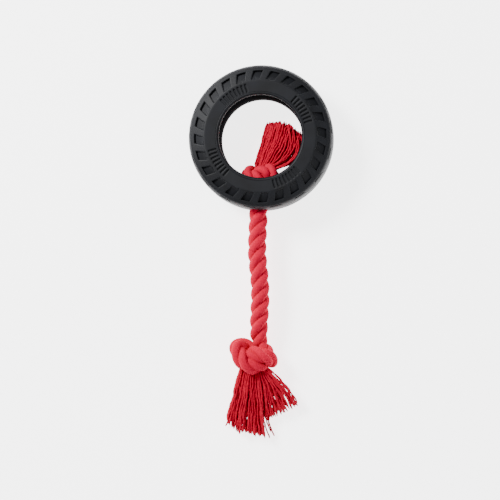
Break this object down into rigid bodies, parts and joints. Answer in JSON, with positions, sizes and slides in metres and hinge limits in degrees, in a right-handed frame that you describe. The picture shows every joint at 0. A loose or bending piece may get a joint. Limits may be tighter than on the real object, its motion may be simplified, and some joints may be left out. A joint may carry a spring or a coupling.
{
  "type": "dog tug toy, tyre and knotted rope",
  "caption": "Hollow moulded rubber tyre with a thick three-strand rope knotted through its tread and frayed at both ends.",
  "frame": {"origin": "centre of the tyre's back side wall, on the ground that the toy lies on", "axes": "+Z along the tyre's axis, up from the ground; the rope leaves the tread towards -Y; +X to the right when the rope points down"},
  "size_m": [0.09, 0.2328, 0.03],
  "materials": {
    "tyre_rubber": "satin",
    "rope_cotton": "matte",
    "frayed_cotton": "matte"
  },
  "bodies": {
    "tyre": {"tyre": "tyre_rubber"},
    "rope_inner": {"rope_shank": "rope_cotton", "inner_knot": "rope_cotton", "inner_fray_left": "frayed_cotton", "inner_fray_middle": "frayed_cotton", "inner_fray_right": "frayed_cotton"},
    "rope_bend": {"rope_bend": "rope_cotton"},
    "rope_outer": {"rope_run": "rope_cotton", "outer_knot": "rope_cotton", "outer_fray_left": "frayed_cotton", "outer_fray_middle": "frayed_cotton", "outer_fray_right": "frayed_cotton"}
  },
  "joints": [
    {"name": "rope_slide", "type": "slide", "parent": "tyre", "child": "rope_inner", "axis": [0, 1, 0], "range_m": [0, 0.018]},
    {"name": "rope_lift", "type": "hinge", "parent": "rope_inner", "child": "rope_bend", "pos_m": [0, -0.07, 0.015], "axis": [-1, 0, 0], "range_deg": [0, 75]},
    {"name": "rope_swing", "type": "hinge", "parent": "rope_bend", "child": "rope_outer", "pos_m": [0, -0.07, 0.015], "axis": [0, 0, 1], "range_deg": [-70, 70]}
  ]
}
